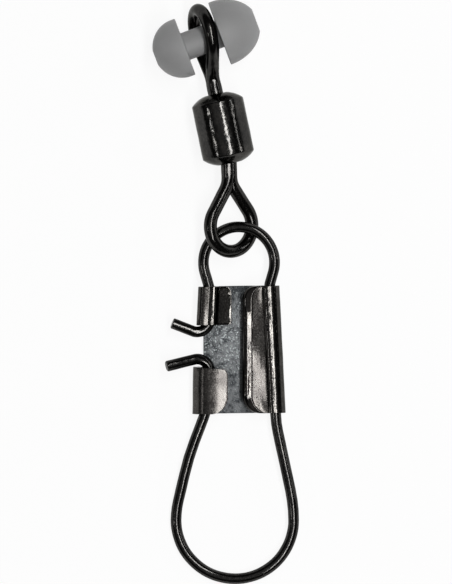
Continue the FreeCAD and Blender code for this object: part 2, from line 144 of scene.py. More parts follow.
def turnedShape(profile, sides):
    # a closed profile of (radius, height) turned about Z
    shape = bmesh.new()
    angles = [2 * math.pi * k / sides for k in range(sides)]
    rings = []
    for radius, height in profile:
        if radius < 1e-6:
            rings.append([shape.verts.new((0, 0, height))] * sides)
            continue
        rings.append([
            shape.verts.new((radius * math.cos(a), radius * math.sin(a), height)) for a in angles
        ])
    for here, there in zip(rings, rings[1:] + rings[:1]):
        for k in range(sides):
            n = (k + 1) % sides
            corners = []
            for vert in (here[k], here[n], there[n], there[k]):
                if vert not in corners:
                    corners.append(vert)
            if len(corners) > 2:
                shape.faces.new(corners)
    bmesh.ops.recalc_face_normals(shape, faces=shape.faces)
    return shape


def ripple(shape, depth, size):
    # shallow unevenness of a real surface, in geometry
    shape.normal_update()
    for vert in shape.verts:
        vert.co += vert.normal * noise.noise(vert.co / size) * depth


def makePiece(name, shape, place, material, sharpAngle=35):
    # a bmesh in millimetres becomes a piece standing in the row frame
    mesh = bpy.data.meshes.new(name)
    shape.normal_update()
    shape.to_mesh(mesh)
    shape.free()
    mesh.transform(place @ toMetres)
    mesh.materials.append(material)
    mesh.shade_smooth()
    mesh.set_sharp_from_angle(angle=math.radians(sharpAngle))
    piece = bpy.data.objects.new(name, mesh)
    bpy.context.scene.collection.objects.link(piece)
    return piece


def placeAt(origin, along, across):
    # a piece's own frame: Z along one direction, X leaning towards another
    zAxis = Vector(along).normalized()
    yAxis = zAxis.cross(Vector(across)).normalized()
    xAxis = yAxis.cross(zAxis)
    turned = Matrix((xAxis, yAxis, zAxis)).transposed().to_4x4()
    return Matrix.Translation(Vector(origin)) @ turned


# Shared material tools; noise works in millimetres, bump depths and the light's reach in metres
def newMaterial(name):
    material = bpy.data.materials.new(name)
    material.use_nodes = True
    tree = material.node_tree
    shader = tree.nodes["Principled BSDF"]
    return material, tree, shader


def addNode(tree, kind, choices=None, **values):
    # a node with its choices set, and its inputs set or linked, by name or by number as in i0
    node = tree.nodes.new("ShaderNode" + kind)
    for key, value in (choices or {}).items():
        setattr(node, key, value)
    for key, value in values.items():
        socket = node.inputs[int(key[1:]) if key[1:].isdigit() else key]
        if isinstance(value, bpy.types.NodeSocket):
            tree.links.new(value, socket)
        else:
            socket.default_value = value
    return node


def inMillimetres(tree):
    place = addNode(tree, "TexCoord").outputs["Object"]
    return addNode(tree, "Mapping", Vector=place, Scale=(1000, 1000, 1000)).outputs[0]


def noiseAt(tree, place, scale, detail=3.0, roughness=0.5):
    return addNode(
        tree, "TexNoise", Vector=place, Scale=scale, Detail=detail, Roughness=roughness
    ).outputs["Fac"]


def spread(tree, value, fromLow, fromHigh, toLow, toHigh):
    # rescales a value between two limits
    return addNode(
        tree, "MapRange", Value=value, i1=fromLow, i2=fromHigh, i3=toLow, i4=toHigh
    ).outputs[0]


def mathOf(tree, operation, *values):
    inputs = {f"i{number}": value for number, value in enumerate(values)}
    return addNode(tree, "Math", {"operation": operation}, **inputs).outputs[0]


def blendColours(tree, share, first, second):
    node = addNode(tree, "Mix", {"data_type": "RGBA"}, i0=share)
    for value, number in ((first, 6), (second, 7)):
        if isinstance(value, bpy.types.NodeSocket):
            tree.links.new(value, node.inputs[number])
        else:
            node.inputs[number].default_value = (*value, 1)
    return node.outputs[2]


def bumpFrom(tree, height, distance, strength=1.0, under=None):
    node = addNode(tree, "Bump", Height=height, Distance=distance, Strength=strength)
    if under:
        tree.links.new(under, node.inputs["Normal"])
    return node.outputs[0]


# Black nickel on wire, tube and sheet
nickel = {
    "eyeWire": {
        "dark": (0.028, 0.0275, 0.027), "light": (0.060, 0.058, 0.055),
        "rough": (0.10, 0.22), "peel": 0.0000028,
    },
    "barrelShell": {
        "dark": (0.032, 0.0315, 0.031), "light": (0.070, 0.067, 0.063),
        "rough": (0.08, 0.18), "peel": 0.0000045,
    },
    "springWire": {
        "dark": (0.028, 0.0275, 0.027), "light": (0.062, 0.060, 0.057),
        "rough": (0.10, 0.20), "peel": 0.0000026,
    },
    "plateFold": {
        "dark": (0.034, 0.0325, 0.031), "light": (0.078, 0.074, 0.069),
        "rough": (0.06, 0.15), "peel": 0.0000045,
    },
    "plateSatin": {
        "dark": (0.042, 0.039, 0.037), "light": (0.098, 0.093, 0.087),
        "rough": (0.19, 0.29), "peel": 0.0000040,
    },
}
nickelGrain = {
    "cloud": 0.9, "speck": 9.0, "grain": 22.0, "grainDepth": 0.0000008, "peelScale": 8.0,
    "wearSpan": (0.15, 0.38), "speckSpan": (0.3, 0.7), "edgeTint": (0.62, 0.62, 0.61),
}


def makeNickel(name):
    look = nickel[name]
    material, tree, shader = newMaterial(name)
    place = inMillimetres(tree)
    cloud = noiseAt(tree, place, nickelGrain["cloud"])
    speck = noiseAt(tree, place, nickelGrain["speck"], 2.0)
    wear = mathOf(tree, "MULTIPLY", cloud, speck)
    wear = spread(tree, wear, *nickelGrain["wearSpan"], 0, 1)
    colour = blendColours(tree, wear, look["dark"], look["light"])
    tree.links.new(colour, shader.inputs["Base Color"])
    shader.inputs["Metallic"].default_value = 1.0
    rough = spread(tree, speck, *nickelGrain["speckSpan"], *look["rough"])
    tree.links.new(rough, shader.inputs["Roughness"])
    peel = bumpFrom(tree, noiseAt(tree, place, nickelGrain["peelScale"], 1.0), look["peel"])
    grain = noiseAt(tree, place, nickelGrain["grain"], 2.0)
    bumps = bumpFrom(tree, grain, nickelGrain["grainDepth"], under=peel)
    tree.links.new(bumps, shader.inputs["Normal"])
    shader.inputs["Specular Tint"].default_value = (*nickelGrain["edgeTint"], 1)
    return material


# The plate's dull, mottled back
dullBack = {
    "dark": (0.036, 0.039, 0.042), "middle": (0.165, 0.172, 0.177), "light": (0.48, 0.52, 0.52),
    "patch": 0.45, "patchShare": 0.5, "mottle": 2.6, "speck": 7.5, "grain": 9.0, "depth": 0.00003,
    "middleSpan": (0.62, 0.86), "lightSpan": (0.56, 0.74), "mottleSpan": (0.3, 0.7),
    "rough": (0.36, 0.60),
    # painted light and shade on the back: paler round this point (in millimetres), a painted pool of light, then
    # painted darker, painted shade towards the folds, between the two reaches
    "paintedLightAt": (-0.35, -3.6, 0.0), "paintedLightReach": (1.0, 4.2), "paintedLightShade": (0.020, -0.085),
}


def makeDullBack():
    look = dullBack
    material, tree, shader = newMaterial("plateBack")
    place = inMillimetres(tree)
    patch = noiseAt(tree, place, look["patch"], 2.0)
    mottle = noiseAt(tree, place, look["mottle"], 4.0, 0.65)
    speck = noiseAt(tree, place, look["speck"], 2.0, 0.6)
    # painted light and shade: the colour shifts paler near one point of the back and darker further out, by
    # distance
    away = addNode(tree, "VectorMath", {"operation": "DISTANCE"}, i0=place, i1=look["paintedLightAt"])
    paintedLightShade = spread(tree, away.outputs["Value"], *look["paintedLightReach"], *look["paintedLightShade"])
    mixed = mathOf(tree, "MULTIPLY_ADD", patch, look["patchShare"], mottle)
    middle = spread(tree, mathOf(tree, "ADD", mixed, paintedLightShade), *look["middleSpan"], 0, 1)
    bright = spread(tree, mathOf(tree, "ADD", speck, paintedLightShade), *look["lightSpan"], 0, 1)
    base = blendColours(tree, middle, look["dark"], look["middle"])
    colour = blendColours(tree, bright, base, look["light"])
    tree.links.new(colour, shader.inputs["Base Color"])
    shader.inputs["Metallic"].default_value = 1.0
    rough = spread(tree, mottle, *look["mottleSpan"], *look["rough"])
    tree.links.new(rough, shader.inputs["Roughness"])
    grain = noiseAt(tree, place, look["grain"], 3.0, 0.6)
    tree.links.new(bumpFrom(tree, grain, look["depth"]), shader.inputs["Normal"])
    return material


# The bead's plain moulded plastic
plastic = {
    "deep": (0.255, 0.255, 0.255), "pale": (0.282, 0.282, 0.283),
    "cloud": 0.45, "cloudSpan": (0.35, 0.65), "grain": 14.0, "grainSpan": (0.3, 0.7),
    "rough": (0.42, 0.60), "depth": 0.000006, "specular": 0.35,
    "softness": 0.35, "reach": 0.0007,
}


def makePlastic():
    look = plastic
    material, tree, shader = newMaterial("beadPlastic")
    place = inMillimetres(tree)
    cloud = spread(tree, noiseAt(tree, place, look["cloud"], 2.0), *look["cloudSpan"], 0, 1)
    colour = blendColours(tree, cloud, look["deep"], look["pale"])
    tree.links.new(colour, shader.inputs["Base Color"])
    grain = noiseAt(tree, place, look["grain"], 2.0)
    rough = spread(tree, grain, *look["grainSpan"], *look["rough"])
    tree.links.new(rough, shader.inputs["Roughness"])
    tree.links.new(bumpFrom(tree, grain, look["depth"]), shader.inputs["Normal"])
    shader.inputs["Specular IOR Level"].default_value = look["specular"]
    shader.inputs["Subsurface Weight"].default_value = look["softness"]
    shader.inputs["Subsurface Radius"].default_value = (1, 1, 1)
    shader.inputs["Subsurface Scale"].default_value = look["reach"]
    return material


eyeNickel = makeNickel("eyeWire")
barrelNickel = makeNickel("barrelShell")
springNickel = makeNickel("springWire")
plateNickel = makeNickel("plateFold")
plateSatin = makeNickel("plateSatin")
plateDull = makeDullBack()
beadPlastic = makePlastic()
print("materials made")

# Line bead
bead = {
    "neckRadius": 0.96, "neckLength": 2.50, "boreRadius": 0.40, "mouthBevel": 0.06,
    "smallRim": 2.03, "smallRimWidth": 0.30, "smallLength": 2.16, "smallReach": 1.92,
    "largeRim": 2.24, "largeRimWidth": 0.12, "largeLength": 2.63, "largeReach": 2.68,
    "rimRound": 0.06, "neckFillet": 0.07, "cornerSteps": 6, "domeSteps": 28, "sides": 128,
    "ripple": (0.010, 1.6),
}


def beadHead(size):
    # (radius, height) from the neck's corner out to the bore's mouth, height from the neck's end
    rim, width = bead[size + "Rim"], bead[size + "RimWidth"]
    length, reach = bead[size + "Length"], bead[size + "Reach"]
    edge, fillet = bead["rimRound"], bead["neckFillet"]
    turns, steps = bead["cornerSteps"], bead["domeSteps"]
    quarter = [math.radians(90 * i / turns) for i in range(turns + 1)]
    neck = bead["neckRadius"]
    points = [(neck + fillet * (1 - math.cos(a)), fillet * (math.sin(a) - 1)) for a in quarter]
    points += [(rim - edge + edge * math.sin(a), edge - edge * math.cos(a)) for a in quarter]
    last = math.asin((length - width) / reach)
    points += [
        (rim * math.cos(last * i / steps), width + reach * math.sin(last * i / steps))
        for i in range(steps + 1)
    ]
    bevel = bead["mouthBevel"]
    points += [(bead["boreRadius"] + bevel, length), (bead["boreRadius"], length - bevel)]
    return points


def makeBead():
    half = bead["neckLength"] / 2
    profile = [(r, -half - h) for r, h in reversed(beadHead("small"))]
    profile += [(r, half + h) for r, h in beadHead("large")]
    shape = turnedShape(profile, bead["sides"])
    ripple(shape, *bead["ripple"])
    spin = joints["bead_spin"]
    place = placeAt(spin["pos_m"], spin["axis"], (0, 0, 1))
    piece = makePiece("lineBead", shape, place, beadPlastic)
    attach(piece, "bead")
    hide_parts("line_bead")


makeBead()
print("line bead made")

# Swivel barrel
barrel = {
    "radius": 1.775, "wall": 0.44, "straight": 3.68, "swage": 0.56, "shoulder": 1.34,
    "shoulderShare": 0.60, "mouth": 0.70, "lip": 0.10, "lipRound": 0.03,
    "cornerRound": 0.05, "cornerTurn": ((0.12, 0.35), (0.1, 0.4)),
    "insideStart": 0.6, "insideShoulder": 0.75,  # shares of the wall
    "straightParts": 24, "outerSteps": 20, "insideSteps": 12, "sides": 144,
    "dents": ((0.010, 0.55), (0.006, 0.22)),
}


def makeBarrel():
    radius, wall, swage = barrel["radius"], barrel["wall"], barrel["swage"]
    half, mouth, lipRound = barrel["straight"] / 2, barrel["mouth"], barrel["lipRound"]
    parts, edge = barrel["straightParts"], barrel["cornerRound"]
    shoulder, shoulderRise = barrel["shoulder"], swage * barrel["shoulderShare"]
    end = half + swage
    outer = arcThrough(
        (radius, half), (shoulder, half + shoulderRise), (mouth + barrel["lip"], end),
        barrel["outerSteps"],
    )
    # the corner is rounded in two steps, the second between the tube and the arc's first point
    (inward, below), (under, along) = barrel["cornerTurn"]
    turnedX, turnedZ = outer[0]
    upper = [(radius, half * i / parts) for i in range(parts)]
    upper += [(radius, half - edge), (radius - edge * inward, half - edge * below)]
    upper.append((
        radius * (1 - along) + turnedX * along - edge * under, half * (1 - along) + turnedZ * along
    ))
    inner = half - wall * barrel["insideStart"]
    upper += outer + [(mouth + lipRound, end), (mouth, end - lipRound), (mouth, inner + swage)]
    upper += arcThrough(
        (mouth, inner + swage), (shoulder - wall * barrel["insideShoulder"], inner + shoulderRise),
        (radius - wall, inner), barrel["insideSteps"],
    )
    lower = [(r, -h) for r, h in upper if h > 0]
    shape = turnedShape(upper + lower[::-1], barrel["sides"])
    for depth, size in barrel["dents"]:
        ripple(shape, depth, size)
    upperEye = Vector(joints["upper_eye_spin"]["pos_m"])
    lowerEye = Vector(joints["lower_eye_spin"]["pos_m"])
    place = placeAt((upperEye + lowerEye) / 2, upperEye - lowerEye, (0, 0, 1))
    piece = makePiece("swivelBarrel", shape, place, barrelNickel)
    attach(piece, "barrel")
    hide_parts("barrel")


makeBarrel()
print("barrel made")

# Swivel eyes, two alike
eye = {
    "wire": 0.45, "loop": 1.73, "distance": {"upper_eye": 4.62, "lower_eye": 4.77},
    "legOffset": 0.10, "taper": 35, "forkBend": 1.60, "route": (0.12, 4), "sides": 48,
    "legGap": 0.012, "gapReach": 1.2, "gapRise": 1.0, "shankSwell": 1.10, "swellFade": 0.8,
    "flat": {"upper_eye": 0.987, "lower_eye": 0.955}, "flatFacing": 6.9, "flatEnd": 0.15,
    "headRadius": 1.08, "headRim": 0.30, "headCone": 0.32, "headEdge": 0.08, "headSides": 64,
    "neckRadius": 0.50, "neckTaper": 0.96, "neckRise": 0.25,
    "dents": ((0.012, 0.9), (0.005, 0.3)), "roll": {"upper_eye": 73.0, "lower_eye": -35.5},
}


def eyeWire(distance, facing, flat):
    # one wire from the shank's foot up a leg, round the loop and down the other leg
    leg, loop, run = eye["legOffset"], eye["loop"], tangentOf(eye["taper"])
    touchX = loop * math.cos(math.radians(eye["taper"]))
    touchZ = distance - loop * math.sin(math.radians(eye["taper"]))
    farZ = distance + loop
    forkZ = touchZ - (touchX - leg) / run
    farX = touchX + (farZ - touchZ) * run
    corners = [
        ((-leg, 0, 0), 0), ((-leg, 0, forkZ), eye["forkBend"]), ((-farX, 0, farZ), loop),
        ((farX, 0, farZ), loop), ((leg, 0, forkZ), eye["forkBend"]), ((leg, 0, 0), 0),
    ]
    shape = sweepTube(bentRoute(corners, *eye["route"]), eye["wire"], eye["sides"], 0)
    half = len(shape.verts) // 2
    shape.verts.ensure_lookup_table()
    for number, vert in enumerate(shape.verts):
        side = -1 if number < half else 1
        if abs(vert.co.x) < eye["gapReach"] and vert.co.z < forkZ + eye["gapRise"]:
            vert.co.x = side * max(side * vert.co.x, eye["legGap"] / 2)
        vert.co.y *= 1 + (eye["shankSwell"] - 1) * smooth(forkZ - vert.co.z, 0, eye["swellFade"])
    pressFlat(shape, facing, flat, forkZ)
    return shape


def pressFlat(shape, facing, flat, forkZ):
    # the narrow flat that pressing the legs together leaves along the upper one
    side = math.copysign(1, facing.x)
    facing = Vector((facing.x, facing.y, 0)).normalized()
    across, swell = eye["wire"] * facing.x, eye["wire"] * eye["shankSwell"] * facing.y
    limit = flat * math.hypot(across, swell)
    for vert in shape.verts:
        if side * vert.co.x > 0 and vert.co.z < forkZ - eye["flatEnd"]:
            fromLeg = vert.co.x - side * eye["legOffset"]
            past = fromLeg * facing.x + vert.co.y * facing.y - limit
            if past > 0:
                vert.co -= facing * past


def eyeHead():
    # the upset head that holds the shank inside the barrel
    top, foot = -eye["headCone"], -eye["headCone"] - eye["headRim"]
    radius, edge, rise = eye["headRadius"], eye["headEdge"], eye["neckRise"]
    profile = [
        (0, foot), (radius - edge, foot), (radius, foot + edge), (radius, top - edge),
        (radius - edge, top), (eye["neckRadius"], 0),
        (eye["neckRadius"] * eye["neckTaper"], rise), (0, rise),
    ]
    return turnedShape(profile, eye["headSides"])


def makeEye(node, jointName, name):
    spin = joints[jointName]
    along = Vector(spin["axis"]).normalized()
    # the roll is measured from the level direction on the right
    right = Vector((0, 0, 1)).cross(along).normalized()
    right = -right if right.x < 0 else right
    up = right.cross(along).normalized()
    up = -up if up.z < 0 else up
    roll = math.radians(eye["roll"][node])
    place = placeAt(spin["pos_m"], along, right * math.cos(roll) + up * math.sin(roll))
    tilt = math.radians(eye["flatFacing"])
    facing = place.to_3x3().inverted() @ Vector((math.sin(tilt), 0, math.cos(tilt)))
    shape = eyeWire(eye["distance"][node], facing, eye["flat"][node])
    for depth, size in eye["dents"]:
        ripple(shape, depth, size)
    head = eyeHead()
    headMesh = bpy.data.meshes.new("head")
    head.to_mesh(headMesh)
    head.free()
    shape.from_mesh(headMesh)
    bpy.data.meshes.remove(headMesh)
    piece = makePiece(name, shape, place, eyeNickel)
    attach(piece, node)
    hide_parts(node)


makeEye("upper_eye", "upper_eye_spin", "upperEye")
makeEye("lower_eye", "lower_eye_spin", "lowerEye")
print("eyes made")

# Snap: one bent wire in a folded plate, both drawn in the snap's own flat frame
snapWire = {
    "radius": 0.37, "upperLoop": 2.42, "upperRise": 1.60, "legBend": 1.2, "hookLine": 2.00,
    "upperHook": {"height": 0.915, "angle": 21.4, "length": 2.74, "lift": 0.36, "bend": 0.84},
    "lowerHook": {"height": -0.32, "angle": -13.7, "length": 3.09, "lift": 0.85, "bend": 0.85},
    "lowerLoop": 4.00, "lowerDrop": 7.25, "lowerShift": -0.28,
    "rightBendDrop": 0.676, "rightBend": 7.0, "rightShoulder": 9.5,
    "leftBendRise": 0.80, "leftBend": 5.6, "kneeDrop": 3.03, "kneeReach": 3.44, "kneeBend": 18.0,
    "leftShoulder": 5.4,
    "endBevel": 0.06, "route": (0.12, 4), "sides": 40, "dents": ((0.012, 1.1), (0.004, 0.3)),
}
plate = {
    "sheet": 0.30, "wirePlay": 0.02, "topReach": 4.42, "bottomReach": 4.24, "endSlant": 0.9,
    "topHalfWidth": 2.757, "bottomHalfWidth": 3.184, "seam": 0.05,
    "press": 7.2,  # the pressed tops fall this many degrees towards the fold
    "ridge": {
        "reach": 0.19, "crest": 0.15, "flank": 45, "depth": 0.25, "valley": 0.25, "fit": 0.9,
    },
    # a span gives the two heights between which something sets in; the valley's two top spans
    # are measured down from the plate's top
    "valley": {
        "middle": 0.45, "low": 0.5, "high": 7.6, "round": 2.0, "roundShare": 0.35, "leastTurn": 0.1,
        "topShare": 1.35, "topSpan": (1.9, 0.3), "topLeftSpan": (0.40, 0.15),
        "rightSpans": ((0.4, -1.8), (-3.9, -2.9)), "leftSpan": (1.2, -1.0),
    },
    "lip": {
        "edge": 0.25, "width": 0.43, "crest": 0.155, "gap": 0.05, "riser": 0.09, "rise": 22,
        "lit": 9.4, "low": -2.0, "litSpans": ((-3.5, -3.1), (3.0, 2.6)),
        "creaseAt": 0.20, "crease": 0.006, "creaseSpan": (1.0, 0.5), "creaseWidths": (0.25, 0.40),
        "edgeRoom": 0.36, "shoulderRoom": 0.16, "rounds": (0.03, 0.04, 0.02), "fit": 0.8,
    },
    "flangeTopRound": 0.90, "flangeBottomRound": 1.20,
    "upper": {
        "bottom": 1.80, "edge": 0.52, "edgeRoom": 0.66, "gap": 0.03, "slope": 70,
        "flat": (0.20, -0.06), "flatRise": 0.01, "press": (-0.29, -0.46), "round": 0.06,
        "fall": (5.6, 17, 8), "extraFall": 2.6, "extraSpan": (3.4, 2.4), "wallRound": 0.60,
        "foot": 0.30, "footFit": 1.2, "footFall": (15, 8),
        "curl": 0.16, "curlLoss": 0.5, "curlSpan": (2.6, 3.4), "curlRound": 0.10,
        "topRound": 0.50, "bottomRound": 0.20,
    },
    "lower": {
        "top": -1.22, "topSlant": 5.0, "slantReach": 1.8, "slantEnd": 1.6, "edge": 0.73,
        "crown": 0.95, "fold": 0.42, "wall": 0.03, "flare": 0.09, "fall": (1.0, 9.5),
        "bulge": 4.4, "bulgeAt": 0.80, "bulgeRoom": 0.08, "endRoom": 0.04, "fit": 0.95,
        "topRound": 0.36, "bottomRound": 1.15,
    },
    "notchEdge": 2.44, "notchRound": 0.15, "edgeRound": 0.035,
    "runParts": 4, "arcParts": 9, "backParts": 36, "rowGap": 0.16, "leastRow": 0.0015,
    "steps": {"edge": 4, "notch": 4, "flangeTop": 18, "flangeBottom": 20, "upper": 6, "lower": 9},
    "satin": {"flange": (43, 78), "upperTab": (23, 31), "lowerTab": (20, 99)},  # by column
    "finish": {"fold": 0, "dull": 1, "satin": 2}, "sharpAngle": 40,  # finish by material slot
    "ripple": ((0.010, 0.9), (0.004, 0.35)),
}

# measures that the wire and the plate share
foldRadius = snapWire["radius"] + plate["wirePlay"] + plate["sheet"] / 2
plateTop, plateBottom = plate["topReach"], -plate["bottomReach"]
sideSlope = (plate["bottomHalfWidth"] - plate["topHalfWidth"]) / (plateTop - plateBottom)
loopY = plateTop + snapWire["upperRise"]
lowerLoopY = plateBottom - snapWire["lowerDrop"]
loopFoot = lowerLoopY - snapWire["lowerLoop"]


def channelX(y):
    # how far the wire's middle line lies from the plate's, inside a side fold
    halfWidth = plate["topHalfWidth"] + (plateTop - y) * sideSlope
    return halfWidth - (foldRadius + plate["sheet"] / 2) * math.hypot(1, sideSlope)


def snapPlace():
    # the swing joint gives the loop's middle and the flat, the loop mount the way down
    swing = joints["snap_swing"]
    middle, normal = Vector(swing["pos_m"]), Vector(swing["axis"]).normalized()
    down = Vector(mounts["snap_loop"]["pos_m"]) - middle
    down = (down - normal * down.dot(normal)).normalized()
    turn = math.atan2(snapWire["lowerShift"], loopY - loopFoot - snapWire["radius"])
    yAxis = Matrix.Rotation(-turn, 3, normal) @ -down
    xAxis = yAxis.cross(normal)
    turned = Matrix((xAxis, yAxis, normal)).transposed().to_4x4()
    return Matrix.Translation(middle) @ turned @ Matrix.Translation((0, -loopY * 0.001, 0))


def legCorner(sideX, centreY, radius, farX, farY):
    # the height at which a loop's side turns into the straight leg to a far point
    across, away = abs(sideX - farX) - radius, abs(farY - centreY)
    turn = math.atan2(across, away) + math.asin(radius / math.hypot(across, away))
    return centreY + math.copysign(radius * math.tan(turn / 2), farY - centreY)


def hookTip(hook):
    # the free end of a hook, lifted off the plate
    angle = math.radians(hook["angle"])
    flat = math.sqrt(hook["length"] ** 2 - hook["lift"] ** 2)
    x = -snapWire["hookLine"] - flat * math.cos(angle)
    return x, hook["height"] + flat * math.sin(angle), hook["lift"]


def snapRoute():
    wire = snapWire
    line, loop, lower = wire["hookLine"], wire["upperLoop"], wire["lowerLoop"]
    leaveY = plateTop + plate["topHalfWidth"] * tangentOf(plate["endSlant"])
    upperRight = (channelX(leaveY), leaveY)
    shoulderY = legCorner(loop, loopY, loop, *upperRight)
    hookLegY = shoulderY - (loop - line) * (shoulderY - leaveY) / (loop - upperRight[0])
    bendY = plateBottom - wire["rightBendDrop"]
    lowerRight = (channelX(bendY), bendY)
    knee = (-wire["kneeReach"], plateBottom - wire["kneeDrop"])
    rightSide, leftSide = wire["lowerShift"] + lower, wire["lowerShift"] - lower
    rightY = legCorner(rightSide, lowerLoopY, wire["rightShoulder"], *lowerRight)
    leftY = legCorner(leftSide, lowerLoopY, wire["leftShoulder"], *knee)
    corners = [
        (hookTip(wire["upperHook"]), 0),
        ((-line, wire["upperHook"]["height"], 0), wire["upperHook"]["bend"]),
        ((-line, hookLegY, 0), wire["legBend"]),
        ((-loop, shoulderY, 0), loop),
        ((-loop, loopY + loop, 0), loop),
        ((loop, loopY + loop, 0), loop),
        ((loop, shoulderY, 0), loop),
        ((*upperRight, 0), wire["legBend"]),
        ((*lowerRight, 0), wire["rightBend"]),
        ((rightSide, rightY, 0), wire["rightShoulder"]),
        ((rightSide, loopFoot, 0), lower),
        ((leftSide, loopFoot, 0), lower),
        ((leftSide, leftY, 0), wire["leftShoulder"]),
        ((*knee, 0), wire["kneeBend"]),
        ((-line, plateBottom + wire["leftBendRise"], 0), wire["leftBend"]),
        ((-line, wire["lowerHook"]["height"], 0), wire["lowerHook"]["bend"]),
        (hookTip(wire["lowerHook"]), 0),
    ]
    return bentRoute(corners, *wire["route"])


def makeSnapWire():
    shape = sweepTube(snapRoute(), snapWire["radius"], snapWire["sides"], snapWire["endBevel"])
    for depth, size in snapWire["dents"]:
        ripple(shape, depth, size)
    piece = makePiece("snapWire", shape, snapPlace(), springNickel)
    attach(piece, "snap")
    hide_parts("snap_wire")


makeSnapWire()
print("snap wire made")


def cornerInset(y, top, topRound, bottom, bottomRound):
    # how far a free edge draws back at a height, for its two rounded corners
    for gap, radius in ((top - y, topRound), (y - bottom, bottomRound)):
        if gap < radius:
            return radius - math.sqrt(max(radius ** 2 - (radius - gap) ** 2, 0))
    return 0


def quarterSteps(radius, name):
    # distances from an edge, packed the way a rounded corner needs them
    steps = plate["steps"][name]
    return [radius * (1 - math.cos(math.radians(90 * i / steps))) for i in range(steps + 1)]


def sheetSection(corners):
    # middle line of a strip across the sheet, with close points along its free edge
    last, before = Vector(corners[-1][0]), Vector(corners[-2][0])
    outward = (last - before).normalized()
    steps = quarterSteps(plate["edgeRound"], "edge")
    route = bentRoute(
        corners[:-1] + [(last - outward * plate["edgeRound"], 0)], 0, 0,
        (plate["runParts"], plate["arcParts"]),
    )
    return route + [last - outward * step for step in steps[-2::-1]]


def flangeSection(y):
    # from the back over the wire to the curled lip, X towards the fold
    ridge, lip, valley = plate["ridge"], plate["lip"], plate["valley"]
    wireX, fold = channelX(y), foldRadius
    fall = math.radians(plate["press"])
    crestZ = (fold + ridge["reach"] * math.sin(fall)) / math.cos(fall)
    cornerZ = (fold - fold * math.sin(fall)) / math.cos(fall)
    valleyX = wireX - ridge["reach"] - ridge["depth"] / tangentOf(ridge["flank"])
    valleyZ = crestZ - ridge["depth"]
    topRound, bottomRound = plate["flangeTopRound"], plate["flangeBottomRound"]
    inset = cornerInset(y, plateTop, topRound, plateBottom, bottomRound)
    lipX = lip["edge"] + plate["sheet"] / 2
    lipX += min(inset, valleyX - lip["edgeRoom"] - lipX)
    shoulderX = min(lipX + lip["width"], valleyX - lip["shoulderRoom"])
    riserX = shoulderX + lip["riser"]
    high, low, underTop = valley["high"], valley["low"], plateTop - y
    atTop = smooth(underTop, *valley["topSpan"]) * valley["topShare"]
    right = atTop + within(y, valley["rightSpans"])
    left = smooth(y, *valley["leftSpan"]) + smooth(underTop, *valley["topLeftSpan"])
    rightTilt, leftTilt = low + (high - low) * right, low + (high - low) * left
    middleX = valleyX + (riserX - valleyX) * valley["middle"]
    middleZ = valleyZ + (valleyX - middleX) * tangentOf(rightTilt)
    riserZ = middleZ + (middleX - riserX) * tangentOf(leftTilt)
    shoulderZ = riserZ + (riserX - shoulderX) * tangentOf(lip["rise"])
    facet = lip["low"] + (lip["lit"] - lip["low"]) * within(y, lip["litSpans"])
    width = shoulderX - lipX
    creaseX = shoulderX - lip["creaseAt"] * width / lip["width"]
    crease = smooth(y, *lip["creaseSpan"]) * smooth(width, *lip["creaseWidths"])
    creaseZ = shoulderZ + (shoulderX - creaseX) * tangentOf(facet) - lip["crease"] * crease
    lipTop = shoulderZ + width * tangentOf(facet)
    turn = max(abs(rightTilt - leftTilt), valley["leastTurn"])
    middleRound = (middleX - riserX) * valley["roundShare"] / tangentOf(turn / 2)
    riserRound, shoulderRound, creaseRound = lip["rounds"]
    corners = [
        ((wireX - plate["seam"], 0, -fold), 0),
        ((wireX + fold, 0, -fold), fold),
        ((wireX + fold, 0, cornerZ), fold * math.cos(fall)),
        ((wireX - ridge["reach"], 0, crestZ), ridge["crest"]),
        ((valleyX, 0, valleyZ), min(ridge["valley"], (valleyX - middleX) * ridge["fit"])),
        ((middleX, 0, middleZ), min(valley["round"], middleRound)),
        ((riserX, 0, riserZ), riserRound),
        ((shoulderX, 0, shoulderZ), shoulderRound),
        ((creaseX, 0, creaseZ), creaseRound),
        ((lipX, 0, lipTop), min(lip["crest"], (creaseX - lipX) * lip["fit"])),
        ((lipX, 0, -fold + plate["sheet"] + lip["gap"]), 0),
    ]
    return sheetSection(corners)


def upperSection(y):
    # the upper left tab, pressed flat over the wire and crimped down beside it
    tab, fold = plate["upper"], foldRadius
    wireX = channelX(y)
    firstFall, dipFall, lastFall = tab["fall"]
    firstFall += smooth(y, *tab["extraSpan"]) * tab["extraFall"]
    flatX, dipX = (wireX + at for at in tab["flat"])
    ledgeX, crimpX = (wireX + at for at in tab["press"])
    flatZ = fold + tab["flatRise"]
    dipZ = flatZ - (flatX - dipX) * tangentOf(firstFall)
    ledgeZ = dipZ - (dipX - ledgeX) * tangentOf(dipFall)
    crimpZ = ledgeZ - (ledgeX - crimpX) * tangentOf(lastFall)
    footFall, curlFall = (tangentOf(angle) for angle in tab["footFall"])
    inset = cornerInset(y, plateTop, tab["topRound"], tab["bottom"], tab["bottomRound"])
    edgeX = tab["edge"] + min(inset, crimpX - tab["edgeRoom"] - tab["edge"])
    edgeZ = -fold + plate["sheet"] + tab["gap"]
    curl = tab["curl"] * (1 - tab["curlLoss"] * smooth(y, *tab["curlSpan"]))
    curlZ = edgeZ + curl * curlFall
    slope = tangentOf(tab["slope"])
    footX = (curlZ - footFall * (edgeX + curl) - crimpZ + slope * crimpX) / (slope - footFall)
    footZ = crimpZ - (crimpX - footX) * slope
    wallX = wireX + fold
    corners = [
        ((wireX - plate["seam"], 0, -fold), 0),
        ((wallX, 0, -fold), fold),
        ((wallX, 0, flatZ + (wallX - flatX) * tangentOf(firstFall)), fold * tab["wallRound"]),
        ((dipX, 0, dipZ), tab["round"]),
        ((ledgeX, 0, ledgeZ), tab["round"]),
        ((crimpX, 0, crimpZ), tab["round"]),
        ((footX, 0, footZ), min(tab["foot"], (footX - edgeX - curl) * tab["footFit"])),
        ((edgeX + curl, 0, curlZ), tab["curlRound"]),
        ((edgeX, 0, edgeZ), 0),
    ]
    return sheetSection(corners)


